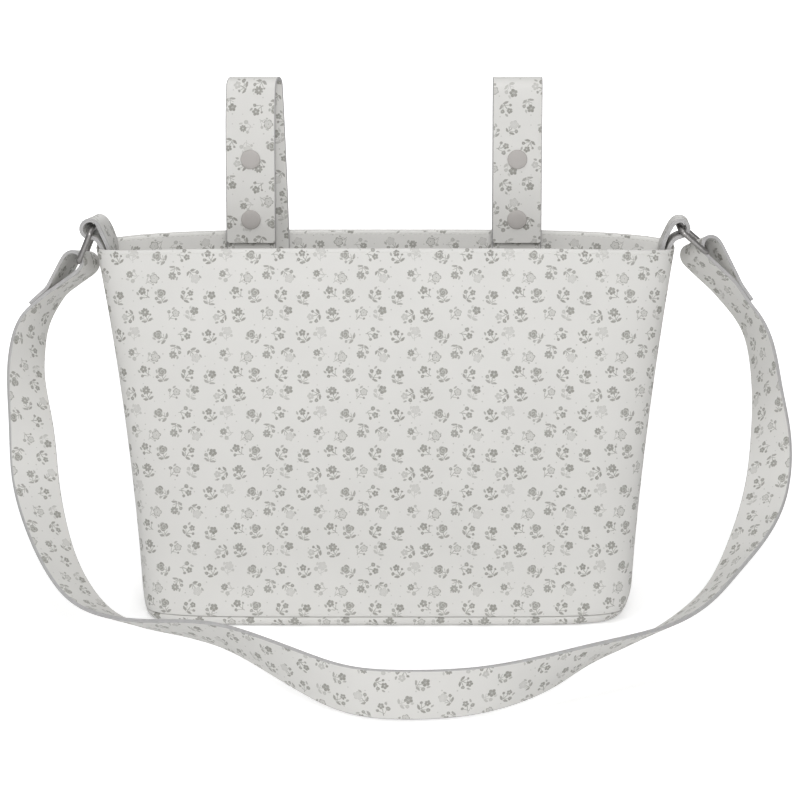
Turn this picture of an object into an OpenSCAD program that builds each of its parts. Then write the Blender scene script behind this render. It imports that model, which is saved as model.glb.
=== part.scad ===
// Soft baby bag for a pushchair: open tote with two pram straps on press studs and a shoulder strap on rings.
// Origin: centre of the base on the floor. X across the bag, front towards -Y, Z up. Millimetres.

/* [Bag body] */
// Width across the rim
rim_w = 370; // [340:1:374]
// Depth of the open mouth
mouth_d = 62; // [60:1:80]
// Width across the base
base_w = 318; // [290:1:330]
// Depth of the base
base_d = 110; // [90:1:130]
// Height of the rim at its middle
bag_h = 244; // [240:1:246]
// How far the rim's corners sag below its middle
rim_sag = 4; // [0:0.5:6]
// Thickness of the outer leatherette with its foam backing
skin_t = 1.6; // [1.2:0.1:2]
// Thickness of the printed facing inside the rim
facing_t = 1.2; // [0.8:0.1:1.4]
// Height of the facing, from the rim down
facing_h = 60; // [40:1:80]
// Thickness of the textile lining
lining_t = 0.8; // [0.6:0.1:1.2]
// Thickness of the stiffener in the base
board_t = 2.6; // [1.5:0.1:3]

/* [Pram straps] */
// Width of each pram strap
pram_w = 32; // [28:1:34]
// Thickness of each strap, two layers of leatherette
strap_t = 2.6; // [2:0.1:3]
// Top of the fold above the floor
pram_top = 346; // [330:1:360]
// Middle of the left strap
pram_left_x = -88; // [-110:1:-70]
// Middle of the right strap
pram_right_x = 84; // [70:1:110]
// How far the left strap's back leg leans to the right at the rim
left_lean = 9; // [0:1:12]
// Diameter of a snap's cap
cap_d = 12.6; // [11:0.1:14]
// Height of the upper snap
upper_snap_z = 293; // [285:1:300]
// Height of the lower snap
lower_snap_z = 253.5; // [248:0.5:260]

/* [Rings and shoulder strap] */
// Diameter of the ring's rod
rod_d = 3.6; // [3:0.1:4]
// Distance between the ring's two long bars
ring_pitch = 22; // [20:0.5:26]
// Width inside the ring
ring_inside = 34; // [33:0.5:36]
// Width of the shoulder strap
shoulder_w = 32; // [28:1:32]
// Angle of the left ring from straight down
left_droop = 22; // [15:1:30]
// Angle of the right ring from straight down
right_droop = 49; // [40:1:52]

/* [Hidden] */
$fn = 48;

leatherette = [0.88, 0.87, 0.85];
printed_inside = [0.82, 0.81, 0.79];
cloth = [0.80, 0.79, 0.77];
nickel = [0.60, 0.59, 0.58];
cap_grey = [0.72, 0.70, 0.69];

gap = 0.1;                              // between sewn layers
seam_z = 6.5;                           // height of the seam between the panels and the base
facing_in = skin_t + gap;               // how far the facing lies inside the panel's outer face
lining_in = facing_in + facing_t + gap; // the same for the lining

// Layers of a pram strap, counted from the back panel towards the front
pram_back_y = mouth_d / 2 - 3.6;        // back face of the back leg, clear of the facing
stub_y = pram_back_y - strap_t - 0.2;   // back face of the stub
snap_gap = 4.3;                         // between the stub and the flap, filled by the snaps
flap_y = stub_y - strap_t - snap_gap;   // back face of the flap
fold_r = (pram_back_y - flap_y + strap_t) / 2;
fold_y = pram_back_y - fold_r;
fold_z = pram_top - fold_r;
strap_foot_z = bag_h - 34;              // sewn foot of the back leg
stub_foot_z = bag_h - 38;
stub_top_z = 307;
flap_foot_z = 238;

tab_z = 252;                            // middle of the tab's eye
tab_x = 188;
tab_eye_r = 3;
tab_r = 7;
tab_w = 30;
loop_r = 9.6;                           // strap end loop round the ring's outer bar
tail_l = 37;                            // length of the folded-back tail, from the bar

// Middle line of the shoulder strap and the way its outer edge points
strap_route = [
    [-228, -4, 192, -5, -8, 2], [-231, -28, 166, -7, -7, 1], [-227, -54, 131, -9, -4, 1],
    [-221, -75, 105, -9, -3, 1], [-213, -96, 80, -8, -5, 1], [-202, -118, 58, -7, -7, 2],
    [-184, -140, 41, -5, -8, 3], [-158, -160, 37, -2, -9, 3], [-127, -178, 38, 0, -9, 4],
    [-98, -196, 38, 1, -8, 6], [-55, -225, 27, 1, -5, 8], [-25, -240, 20, 0, -3, 9],
    [6, -247, 17, 0, -1, 10], [54, -240, 19, 0, -2, 9], [96, -222, 25, 0, -5, 8],
    [126, -203, 31, 1, -8, 5], [152, -184, 36, 2, -9, 4], [172, -167, 38, 4, -9, 3],
    [191, -150, 46, 6, -8, 2], [207, -132, 57, 7, -7, 2], [222, -112, 73, 8, -6, 2],
    [236, -90, 96, 8, -5, 1], [243, -66, 122, 8, -5, 1], [243, -42, 153, 7, -7, 1],
    [239, -22, 175, 6, -8, 1], [233, -5, 195, 5, -8, 2]];
strap_steps = 3;                        // rings between two points of the route

function mix(a, b, t) = a + (b - a) * t;
function unit(v) = v / norm(v);

// A closed slab between two grids of points; rows run upwards and columns to the right, seen from the front grid
module slab(front, back) {
    rows = len(front);
    cols = len(front[0]);
    half = rows * cols;
    function id(i, j, side) = side * half + i * cols + j;
    quads = concat(
        [for (i = [0 : rows - 2], j = [0 : cols - 2])
            [id(i, j, 0), id(i + 1, j, 0), id(i + 1, j + 1, 0), id(i, j + 1, 0)]],
        [for (i = [0 : rows - 2], j = [0 : cols - 2])
            [id(i, j, 1), id(i, j + 1, 1), id(i + 1, j + 1, 1), id(i + 1, j, 1)]],
        [for (j = [0 : cols - 2]) [id(0, j, 0), id(0, j + 1, 0), id(0, j + 1, 1), id(0, j, 1)]],
        [for (j = [0 : cols - 2])
            [id(rows - 1, j + 1, 0), id(rows - 1, j, 0), id(rows - 1, j, 1), id(rows - 1, j + 1, 1)]],
        [for (i = [0 : rows - 2]) [id(i + 1, 0, 0), id(i, 0, 0), id(i, 0, 1), id(i + 1, 0, 1)]],
        [for (i = [0 : rows - 2])
            [id(i, cols - 1, 0), id(i + 1, cols - 1, 0), id(i + 1, cols - 1, 1), id(i, cols - 1, 1)]]);
    polyhedron(
        points = concat([for (row = front) each row], [for (row = back) each row]),
        faces = [for (q = quads) each [[q[0], q[1], q[2]], [q[0], q[2], q[3]]]]);
}

// The bag's outline at one height, a rounded rectangle that is rounder at the rim than at the base
function outline(angle, half_w, half_d, power) =
    let (c = cos(angle), s = sin(angle), r = pow(pow(abs(c), power) + pow(abs(s), power), -1 / power))
    [half_w * r * c, half_d * r * s, r * c];

// A point of the wall at a share t of its height, inset from the outer face
function wall(angle, t, inset) =
    let (o = outline(angle, mix(base_w, rim_w, pow(t, 1.4)) / 2 - inset,
            mix(base_d, mouth_d, pow(t, 1.2)) / 2 - inset, mix(6, 4, t)))
    [o[0], o[1], mix(seam_z, bag_h, t) - rim_sag * t * pow(o[2], 4)];

// One sewn layer of the wall, from_angle to to_angle and from t0 to t1
module wall_layer(from_angle, to_angle, t0, t1, inset, thickness, rows = 8, cols = 28) {
    function grid(depth) = [for (i = [0 : rows])
        [for (j = [0 : cols]) wall(mix(from_angle, to_angle, j / cols), mix(t0, t1, i / rows), depth)]];
    slab(grid(inset), grid(inset + thickness));
}

seam_angle = 0.06;                      // leaves the side seams a hair open
facing_t0 = 1 - facing_h / (bag_h - seam_z);
lining_t1 = facing_t0 + 0.04;

module front_panel() { color(leatherette) wall_layer(180 + seam_angle, 360 - seam_angle, 0, 1, 0, skin_t); }

module back_panel() { color(leatherette) wall_layer(seam_angle, 180 - seam_angle, 0, 1, 0, skin_t); }

module front_facing() {
    color(printed_inside)
        wall_layer(180 + seam_angle, 360 - seam_angle, facing_t0, 0.997, facing_in, facing_t, 3);
}

module back_facing() {
    color(printed_inside) wall_layer(seam_angle, 180 - seam_angle, facing_t0, 0.997, facing_in, facing_t, 3);
}

module lining_front() {
    color(cloth) wall_layer(180 + seam_angle, 360 - seam_angle, 0.005, lining_t1, lining_in, lining_t, 5);
}

module lining_back() {
    color(cloth) wall_layer(seam_angle, 180 - seam_angle, 0.005, lining_t1, lining_in, lining_t, 5);
}

// A flat plate that fills the base's outline at some inset
module base_plate(z, thickness, inset) {
    translate([0, 0, z]) linear_extrude(thickness)
        polygon([for (a = [0 : 6 : 354]) let (o = outline(a, base_w / 2 - inset, base_d / 2 - inset, 6))
            [o[0], o[1]]]);
}

// Outer bottom: a tray with a soft edge that turns up to the seam
module base_panel() {
    lip = [[5, 0], [1.8, 1.4], [0.3, 4], [0, seam_z - gap]];
    function ring_of(inset, z) = [for (a = [0 : 6 : 354])
        let (o = outline(a, base_w / 2 - inset, base_d / 2 - inset, 6)) [o[0], o[1], z]];
    sides = 60;
    rings = concat([for (p = lip) ring_of(p[0], p[1])], [ring_of(skin_t, seam_z - gap), ring_of(skin_t + 1, skin_t)]);
    last = len(rings) - 1;
    color(leatherette) polyhedron(
        points = [for (r = rings) each r],
        faces = concat(
            [[for (j = [0 : sides - 1]) j]],
            [[for (j = [0 : sides - 1]) last * sides + sides - 1 - j]],
            [for (i = [0 : last - 1], j = [0 : sides - 1]) each
                let (k = (j + 1) % sides, a = i * sides, b = (i + 1) * sides)
                [[a + j, b + j, b + k], [a + j, b + k, a + k]]]));
}

module base_board() { color("burlywood") base_plate(skin_t + gap, board_t, skin_t + 1.6); }

module lining_base() { color(cloth) base_plate(skin_t + board_t + 2 * gap, lining_t, skin_t + 1.6); }

// Slip pocket sewn flat on the back lining
module inner_pocket() {
    pocket_t = 0.9;
    color(cloth) wall_layer(62, 118, 0.25, 0.62, lining_in + lining_t + gap, pocket_t, 3, 8);
}

// Magnetic closure, one half on each facing, square to the sloping wall
magnet_t = 0.89;                        // share of the wall's height
magnet_d = 17.5;

// Stands a part's base on the facing; side is -1 at the front and 1 at the back
module on_facing(side) {
    here = wall(90, magnet_t, facing_in + facing_t + 0.3);
    above = wall(90, magnet_t + 0.02, facing_in + facing_t + 0.3);
    slope = atan2(here[1] - above[1], above[2] - here[2]);
    translate([0, side * here[1], here[2]]) rotate([side * (90 + slope), 0, 0]) children();
}

module magnet_stud() {
    color(nickel) on_facing(-1) {
        cylinder(d = magnet_d, h = 1.6);
        cylinder(d = 7, h = 3.2);
    }
}

module magnet_socket() {
    color(nickel) on_facing(1) difference() {
        cylinder(d = magnet_d, h = 3.4);
        translate([0, 0, 1.4]) cylinder(d = 7.6, h = 3);
    }
}

// Folded strip sewn inside the rim; its eye stands above the rim and holds the ring. side is -1 or 1
module tab(side) {
    leg = [[-15.5, -32], [-12.2, -32], [-9.8, -12], [-2, -6.7], [-5.5, 4.3], [-13.4, -10]];
    color(leatherette) translate([side * tab_x, tab_w / 2, tab_z]) rotate([90, 0, 0]) difference() {
        union() {
            cylinder(r = tab_r, h = tab_w);
            linear_extrude(tab_w) polygon([for (p = leg) [side * p[0], p[1]]]);
        }
        translate([0, 0, -1]) cylinder(r = tab_eye_r, h = tab_w + 2);
    }
}

module tab_left() { tab(-1); }
module tab_right() { tab(1); }

// Rectangular ring of round rod; its inner bar lies on the Y axis and it hangs down -Z before it is turned
module ring(side, droop) {
    corner = 3.6;
    half_w = (ring_inside + rod_d) / 2;
    color(nickel) translate([side * tab_x, 0, tab_z]) rotate([0, -side * droop, 0]) {
        for (z = [0, -ring_pitch])
            translate([0, half_w - corner, z]) rotate([90, 0, 0]) cylinder(d = rod_d, h = 2 * (half_w - corner));
        for (y = [-half_w, half_w])
            translate([0, y, corner - ring_pitch]) cylinder(d = rod_d, h = ring_pitch - 2 * corner);
        for (k = [0 : 3]) {
            right = k == 0 || k == 3 ? 1 : -1;
            translate([0, right * (half_w - corner), k < 2 ? -corner : corner - ring_pitch])
                rotate([90, 0, 90]) rotate(90 * k) rotate_extrude(angle = 90) translate([corner, 0]) circle(d = rod_d);
        }
    }
}

module ring_left() { ring(-1, left_droop); }
module ring_right() { ring(1, right_droop); }

// Back leg and top fold of a pram strap; shift is how far its foot lies to the right of its top
module pram_strap(x, shift) {
    color(leatherette) {
        translate([0, pram_back_y, 0]) rotate([90, 0, 0]) linear_extrude(strap_t)
            polygon([[x + shift - pram_w / 2, strap_foot_z], [x + shift + pram_w / 2, strap_foot_z],
                [x + pram_w / 2, fold_z], [x - pram_w / 2, fold_z]]);
        translate([x - pram_w / 2, fold_y, fold_z]) rotate([90, 0, 90]) linear_extrude(pram_w)
            intersection() {
                difference() {
                    circle(fold_r);
                    circle(fold_r - strap_t);
                }
                translate([-fold_r, 0]) square([2 * fold_r, fold_r]);
            }
    }
}

module pram_strap_left() { pram_strap(pram_left_x, left_lean); }
module pram_strap_right() { pram_strap(pram_right_x, 0); }

// A flat length of strap with small round lower corners and the snaps' rivet holes
module strip(x, back_y, z0, z1, hole_d) {
    corner = 4;
    color(leatherette) translate([x, back_y, 0]) rotate([90, 0, 0]) linear_extrude(strap_t) difference() {
        union() {
            translate([-pram_w / 2, z0 + corner]) square([pram_w, z1 - z0 - corner]);
            translate([corner - pram_w / 2, z0]) square([pram_w - 2 * corner, corner]);
            for (s = [-1, 1]) translate([s * (pram_w / 2 - corner), z0 + corner]) circle(corner);
        }
        for (z = [upper_snap_z, lower_snap_z]) translate([0, z]) circle(d = hole_d);
    }
}

rivet_d = 4;                            // hole that the snap's rivet fills

module pram_stub_left() { strip(pram_left_x, stub_y, stub_foot_z, stub_top_z, rivet_d); }
module pram_stub_right() { strip(pram_right_x, stub_y, stub_foot_z, stub_top_z, rivet_d); }
module pram_flap_left() { strip(pram_left_x, flap_y, flap_foot_z, fold_z - 0.1, rivet_d); }
module pram_flap_right() { strip(pram_right_x, flap_y, flap_foot_z, fold_z - 0.1, rivet_d); }

// Places one snap part at both heights, facing the front
module snaps(x, y) { for (z = [upper_snap_z, lower_snap_z]) translate([x, y, z]) rotate([90, 0, 0]) children(); }

// Cap: a low dome with a rivet that goes through the flap
module snap_caps(x) {
    dome_r = 16;
    dome_h = 1.3;
    color(cap_grey) snaps(x, flap_y - strap_t) {
        cylinder(d = cap_d, h = 0.6);
        intersection() {
            translate([0, 0, 0.5 + dome_h - dome_r]) sphere(dome_r);
            translate([0, 0, 0.5]) cylinder(d = cap_d, h = 4);
        }
        translate([0, 0, -strap_t]) cylinder(d = rivet_d - 0.1, h = strap_t + 0.1);
    }
}

// Socket: a round cup behind the flap that the stud clicks into
module snap_sockets(x) {
    color(nickel) snaps(x, flap_y + 2.9) difference() {
        cylinder(d = 11.4, h = 2.85);
        translate([0, 0, -1]) cylinder(d = 5.6, h = 3);
    }
}

// Stud: a flange on the stub with the round head that enters the socket
module snap_studs(x) {
    color(nickel) snaps(x, stub_y - strap_t) {
        cylinder(d = 10.4, h = 1.1);
        cylinder(d = 4.4, h = 2.7);
    }
}

// Post: the flat rivet that holds the stud from behind
module snap_posts(x) {
    color(nickel) snaps(x, stub_y) {
        translate([0, 0, -0.15]) cylinder(d = 9.6, h = 0.15);
        cylinder(d = rivet_d - 0.1, h = strap_t - 0.05);
    }
}

module snap_caps_left() { snap_caps(pram_left_x); }
module snap_caps_right() { snap_caps(pram_right_x); }
module snap_sockets_left() { snap_sockets(pram_left_x); }
module snap_sockets_right() { snap_sockets(pram_right_x); }
module snap_studs_left() { snap_studs(pram_left_x); }
module snap_studs_right() { snap_studs(pram_right_x); }
module snap_posts_left() { snap_posts(pram_left_x); }
module snap_posts_right() { snap_posts(pram_right_x); }

// A cylinder drawn out to a blunt point below it, half_tip to each side of the middle
module teardrop(r, half_tip, depth, width) {
    touch = atan2(-depth, half_tip) + acos(r / norm([half_tip, depth]));
    cylinder(r = r, h = width);
    linear_extrude(width) polygon([[-r * cos(touch), r * sin(touch)], [0, r / 2], [r * cos(touch), r * sin(touch)],
        [half_tip, -depth], [-half_tip, -depth]]);
}

// End of the shoulder strap folded round the ring's outer bar; lean turns its tail out from straight down
module strap_loop(side, droop, lean) {
    bar = [side * (tab_x + ring_pitch * sin(droop)), tab_z - ring_pitch * cos(droop)];
    pinch = tail_l - 14;
    color(leatherette) translate([bar[0], shoulder_w / 2, bar[1]]) rotate([90, 0, 0]) rotate(side * lean)
        difference() {
            union() {
                teardrop(loop_r, strap_t, pinch, shoulder_w);
                translate([-strap_t, -tail_l, 0]) cube([2 * strap_t, tail_l - pinch + 1, shoulder_w]);
            }
            translate([0, 0, -1]) teardrop(loop_r - strap_t, 0.3, pinch - 2, shoulder_w + 2);
        }
}

module strap_loop_left() { strap_loop(-1, left_droop, 48); }
module strap_loop_right() { strap_loop(1, right_droop, 42); }

// Smooth curve through the route's points
function between(p, i, u) =
    let (a = p[max(i - 1, 0)], b = p[i], c = p[i + 1], d = p[min(i + 2, len(p) - 1)])
    0.5 * (2 * b + (c - a) * u + (2 * a - 5 * b + 4 * c - d) * u * u + (3 * b - a - 3 * c + d) * u * u * u);

strap_line = concat([for (i = [0 : len(strap_route) - 2], k = [0 : strap_steps - 1])
    between(strap_route, i, k / strap_steps)], [strap_route[len(strap_route) - 1]]);

function place(p) = [p[0], p[1], p[2]];
function heading(i) = unit(place(strap_line[min(i + 1, len(strap_line) - 1)]) - place(strap_line[max(i - 1, 0)]));
function edge_way(i) = let (w = [strap_line[i][3], strap_line[i][4], strap_line[i][5]], t = heading(i))
    unit(w - (w * t) * t);

// The shoulder strap between its two end loops, a flat band that twists as it falls to the floor
module shoulder_strap() {
    function side_of(s) = [for (i = [0 : len(strap_line) - 1])
        let (p = place(strap_line[i]), w = edge_way(i), n = cross(heading(i), w) * s * strap_t / 2)
        [p - w * shoulder_w / 2 + n, p + w * shoulder_w / 2 + n]];
    color(leatherette) slab(side_of(-1), side_of(1));
}

front_panel();
back_panel();
base_panel();
front_facing();
back_facing();
lining_front();
lining_back();
lining_base();
base_board();
inner_pocket();
magnet_stud();
magnet_socket();
tab_left();
tab_right();
ring_left();
ring_right();
pram_strap_left();
pram_strap_right();
pram_stub_left();
pram_stub_right();
pram_flap_left();
pram_flap_right();
snap_caps_left();
snap_caps_right();
snap_sockets_left();
snap_sockets_right();
snap_studs_left();
snap_studs_right();
snap_posts_left();
snap_posts_right();
strap_loop_left();
strap_loop_right();
shoulder_strap();
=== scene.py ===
import math

import bpy
from mathutils import Matrix, Vector


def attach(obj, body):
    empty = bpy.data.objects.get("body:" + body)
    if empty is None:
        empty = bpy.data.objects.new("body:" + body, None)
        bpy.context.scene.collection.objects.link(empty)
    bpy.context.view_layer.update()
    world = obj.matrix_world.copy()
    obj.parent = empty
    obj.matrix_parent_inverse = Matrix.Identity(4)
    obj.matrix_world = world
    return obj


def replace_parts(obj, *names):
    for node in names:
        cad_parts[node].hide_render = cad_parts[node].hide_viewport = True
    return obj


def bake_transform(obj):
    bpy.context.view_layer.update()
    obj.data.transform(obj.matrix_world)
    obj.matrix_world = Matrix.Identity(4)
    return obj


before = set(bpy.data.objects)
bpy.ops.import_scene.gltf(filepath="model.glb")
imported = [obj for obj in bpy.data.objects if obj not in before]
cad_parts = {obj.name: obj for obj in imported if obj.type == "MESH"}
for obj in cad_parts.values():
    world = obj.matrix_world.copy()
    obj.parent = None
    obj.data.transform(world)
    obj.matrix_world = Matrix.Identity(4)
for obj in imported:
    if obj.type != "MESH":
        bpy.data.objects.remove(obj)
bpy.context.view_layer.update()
scene = bpy.context.scene
MM = 0.001

# ---------------------------------------------------------------- camera, floor and light
# A long lens at the bag's front, a little above it; the floor and the air round it are white.
camera = bpy.data.objects.new("camera", bpy.data.cameras.new("camera"))
scene.collection.objects.link(camera)
camera.data.sensor_width = 36
camera.data.angle = math.radians(11.42)
camera.data.clip_end = 20
camera.data.dof.use_dof = False
target = Vector((0.0084, 0, 0.137))
tilt = math.radians(14)
camera.location = target + 2.6 * Vector((0, -math.cos(tilt), math.sin(tilt)))
camera.rotation_euler = (math.pi / 2 - tilt, 0, 0)
scene.camera = camera
scene.view_settings.view_transform = "Standard"


def linear(code, alpha=1.0):
    """An sRGB hex colour as the linear values a shader socket takes."""
    parts = [int(code[i : i + 2], 16) / 255 for i in (1, 3, 5)]
    return [c / 12.92 if c <= 0.04045 else ((c + 0.055) / 1.055) ** 2.4 for c in parts] + [alpha]


def add(tree, kind, *values, **settings):
    """Adds one node, sets or links its inputs in order and returns its first output.

    A kind in capitals is a Math operation.
    """
    if kind.isupper():
        kind, settings = "Math", {"operation": kind}
    made = tree.nodes.new(kind if kind.startswith("Geometry") else "ShaderNode" + kind)
    for key, value in settings.items():
        setattr(made, key, value)
    for socket, value in zip(made.inputs, values):
        if isinstance(value, bpy.types.NodeSocket):
            tree.links.new(value, socket)
        elif value is not None:
            socket.default_value = value
    return made.outputs[0]


def new_material(name):
    material = bpy.data.materials.new(name)
    material.use_nodes = True
    tree = material.node_tree
    return material, tree, tree.nodes["Principled BSDF"]


bpy.ops.mesh.primitive_plane_add(size=8, location=(0, 0, -0.0004))
floor = bpy.context.object
floor.name = "floor"
floor_finish, tree, shader = new_material("floor_white")
shader.inputs["Base Color"].default_value = linear("#FCFCFC")
shader.inputs["Roughness"].default_value = 0.9
shader.inputs["Specular IOR Level"].default_value = 0.1
shader.inputs["Emission Color"].default_value = linear("#FFFFFF")
# away from the bag the floor brightens into the white air
spot = tree.nodes.new("ShaderNodeTexCoord").outputs["Object"]
away = add(tree, "VectorMath", spot, operation="LENGTH")
away = tree.nodes["Vector Math"].outputs["Value"]
glow = add(tree, "MapRange", away, 0.25, 1.2, 0.36, 0.85)
seen = add(tree, "MULTIPLY_ADD", add(tree, "LightPath"), 0.9, 0.1)
tree.links.new(add(tree, "MULTIPLY", glow, seen), shader.inputs["Emission Strength"])
floor.data.materials.append(floor_finish)

world = bpy.data.worlds.new("studio")
scene.world = world
world.use_nodes = True
tree = world.node_tree
air = tree.nodes["Background"]
seen = add(tree, "LightPath")
tree.links.new(add(tree, "MULTIPLY_ADD", seen, 0.66, 0.36), air.inputs["Strength"])
air.inputs["Color"].default_value = linear("#FFFFFF")
LIGHTS = (
    ("key", (-1.3, -1.5, 1.9), 8, 1.3),
    ("front", (0.1, -2.5, 1.2), 28, 0.8),
    ("top", (0.1, -0.3, 2.3), 9, 1.6),
    ("back", (0.3, 2.3, 1.5), 14, 1.4),
)
for name, place, power, side in LIGHTS:
    light = bpy.data.objects.new(name, bpy.data.lights.new(name, "AREA"))
    scene.collection.objects.link(light)
    light.data.energy = power
    light.data.size = side
    light.location = place
    light.rotation_euler = (Vector((0, 0, 0.1)) - light.location).to_track_quat("-Z", "Y").to_euler()

# ---------------------------------------------------------------- shared finish: printed leatherette
# Off-white coated cloth with an all-over ditsy print in greys, half matt with a fine pebbled grain. The print
# repeats every four cells by four, and each cell holds one small posy. Rows of the table: turn, size, strength
# | strength and size of the side blossoms, leaves | petals, fill, centre | shift across, shift up, second bud.
MOTIFS = [
    (0.95, 0.86, 0.95, 0.75, 0.90, 1.0, 0.5, 1.00, 1.0, 0.50, 0.30, 0.0),
    (0.12, 0.80, 0.95, 0.90, 0.75, 0.0, 0.5, 0.95, 0.6, 0.60, 0.75, 1.0),
    (0.03, 0.98, 0.90, 0.80, 0.80, 1.0, 0.3, 0.95, 0.0, 0.40, 0.50, 0.0),
    (0.88, 0.62, 0.90, 0.85, 0.95, 1.0, 0.5, 1.00, 0.6, 0.55, 0.60, 1.0),
    (0.60, 0.95, 0.42, 0.85, 0.85, 1.0, 0.5, 0.60, 1.0, 0.35, 0.40, 0.0),
    (0.22, 0.74, 0.90, 0.50, 1.00, 0.0, 0.8, 1.00, 0.7, 0.60, 0.55, 1.0),
    (0.82, 1.00, 0.95, 0.60, 0.70, 0.0, 0.5, 0.30, 1.0, 0.50, 0.20, 1.0),
    (0.45, 0.84, 0.85, 0.80, 0.80, 1.0, 0.8, 1.00, 0.6, 0.45, 0.70, 0.0),
    (0.07, 0.70, 0.95, 0.90, 0.80, 1.0, 0.5, 1.00, 0.6, 0.60, 0.45, 1.0),
    (0.97, 0.95, 0.38, 0.40, 1.00, 0.0, 0.5, 0.70, 1.0, 0.40, 0.65, 1.0),
    (0.17, 0.98, 0.92, 0.80, 0.60, 1.0, 0.3, 0.95, 0.0, 0.50, 0.35, 0.0),
    (0.70, 0.66, 0.90, 0.85, 1.00, 0.0, 0.5, 1.00, 0.6, 0.60, 0.50, 1.0),
    (0.92, 0.88, 0.95, 0.45, 0.90, 1.0, 0.5, 0.95, 1.0, 0.45, 0.75, 0.0),
    (0.30, 0.72, 0.50, 0.90, 0.90, 1.0, 0.5, 0.80, 0.6, 0.55, 0.30, 1.0),
    (0.05, 0.92, 0.95, 0.85, 0.75, 1.0, 0.8, 0.95, 0.8, 0.40, 0.55, 1.0),
    (0.86, 0.80, 0.85, 0.80, 0.80, 0.0, 0.5, 0.35, 1.0, 0.60, 0.60, 1.0),
]


def printed(name, ground, dark, strength=1.0, sheen=0.5):
    """Leatherette with the print, read from the piece's own UV map in metres."""
    material, tree, shader = new_material(name)

    def put(kind, *values, **settings):
        return add(tree, kind, *values, **settings)

    def soft(distance, width=0.26):
        return put("MapRange", distance, -width / 2, width / 2, 0.0, 1.0)

    def span(a, b):
        return put("SQRT", put("ADD", put("MULTIPLY", a, a), put("MULTIPLY", b, b)))

    def disc(cx, cy, size):
        return soft(put("SUBTRACT", size, span(put("SUBTRACT", qx, cx), put("SUBTRACT", qy, cy))))

    uv = put("UVMap", uv_map="print")
    wobble = put("TexNoise", uv, None, 700.0, 1.0, noise_dimensions="3D")
    u, v, _ = put("SeparateXYZ", uv).node.outputs
    u = put("MULTIPLY", u, 1000.0)
    v = put("MULTIPLY", v, 1000.0)
    cell_u, cell_v = 15.0, 12.7
    upward = put("DIVIDE", v, cell_v)
    row = put("MODULO", put("ADD", put("FLOOR", upward), 400.0), 4.0)
    # every row of cells is slid by its own share of a cell: 0, 0.5, 0.2, 0.7
    slide = put("ADD", put("MULTIPLY", put("MODULO", row, 2.0), 0.5),
                put("MULTIPLY", put("GREATER_THAN", row, 1.5), 0.2))
    across = put("ADD", put("DIVIDE", u, cell_u), slide)
    column = put("MODULO", put("ADD", put("FLOOR", across), 400.0), 4.0)
    x = put("MULTIPLY", put("SUBTRACT", put("FRACT", across), 0.5), cell_u)
    y = put("MULTIPLY", put("SUBTRACT", put("FRACT", upward), 0.5), cell_v)
    pick = put("DIVIDE", put("ADD", put("ADD", column, put("MULTIPLY", row, 4.0)), 0.5), 16.0)
    values = []
    for group in range(4):
        made = tree.nodes.new("ShaderNodeValToRGB")
        made.color_ramp.interpolation = "CONSTANT"
        stops = made.color_ramp.elements
        while len(stops) < 16:
            stops.new(1.0)
        for i, motif in enumerate(MOTIFS):
            stops[i].position = i / 16
            stops[i].color = motif[3 * group : 3 * group + 3] + (1.0,)
        tree.links.new(pick, made.inputs[0])
        values += list(put("SeparateXYZ", made.outputs[0]).node.outputs)
    turn, size, tone, side_tone, side_size, leaves, petals, fill, centre, aside, raised, second = values

    # into the posy's own frame
    angle = put("MULTIPLY", turn, 2 * math.pi)
    c, s = (put("MULTIPLY", put(wave, angle), 1.1) for wave in ("COSINE", "SINE"))
    x = put("SUBTRACT", x, put("MULTIPLY", put("SUBTRACT", aside, 0.5), 18.0))
    y = put("SUBTRACT", y, put("MULTIPLY", put("SUBTRACT", raised, 0.5), 6.5))
    shake = put("MULTIPLY", put("SUBTRACT", wobble, 0.5), 0.9)
    qx = put("ADD", put("ADD", put("MULTIPLY", x, c), put("MULTIPLY", y, s)), shake)
    qy = put("ADD", put("SUBTRACT", put("MULTIPLY", y, c), put("MULTIPLY", x, s)), shake)

    # main blossom: petals with light gaps, an outline and a centre
    bx, by = put("SUBTRACT", qx, 0.5), put("SUBTRACT", qy, 1.7)
    reach = put("MULTIPLY", size, 3.45)
    r = span(bx, by)
    theta = put("ARCTAN2", by, bx)
    lobe = put("ABSOLUTE", put("COSINE", put("MULTIPLY", theta, put("MULTIPLY", petals, 5.0))))
    edge = put("MULTIPLY", reach, put("MULTIPLY_ADD", put("SUBTRACT", lobe, 1.0), 0.27, 1.0))
    inside = put("SUBTRACT", edge, r)
    whole = soft(inside)
    rim = put("MULTIPLY", whole, put("SUBTRACT", 1.0, soft(put("SUBTRACT", inside, 0.55), 0.3)))
    blossom = put("MAXIMUM", put("MULTIPLY", whole, fill), rim)
    gaps = put("MULTIPLY", soft(put("SUBTRACT", 0.2, lobe), 0.3),
               soft(put("SUBTRACT", r, put("MULTIPLY", reach, 0.42))))
    hub = put("MULTIPLY", put("GREATER_THAN", centre, 0.4),
              soft(put("SUBTRACT", put("MULTIPLY", reach, 0.22), r)))
    light = put("MAXIMUM", put("MULTIPLY", gaps, 0.4), put("MULTIPLY", hub, 0.7))
    spiral = put("ABSOLUTE", put("SINE", put("ADD", put("MULTIPLY", theta, 0.5), put("MULTIPLY", r, 1.75))))
    rose = put("MULTIPLY", put("LESS_THAN", petals, 0.35),
               put("SUBTRACT", 1.0, soft(put("SUBTRACT", spiral, 0.32), 0.3)))
    light = put("MAXIMUM", light, put("MULTIPLY", rose, 0.65))
    core = put("MULTIPLY", put("GREATER_THAN", centre, 0.9), soft(put("SUBTRACT", 0.4, r)))
    blossom = put("MAXIMUM", put("MULTIPLY", blossom, put("SUBTRACT", 1.0, light)), core)
    ink = put("MULTIPLY", blossom, tone)
    free = put("SUBTRACT", 1.0, whole)

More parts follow.
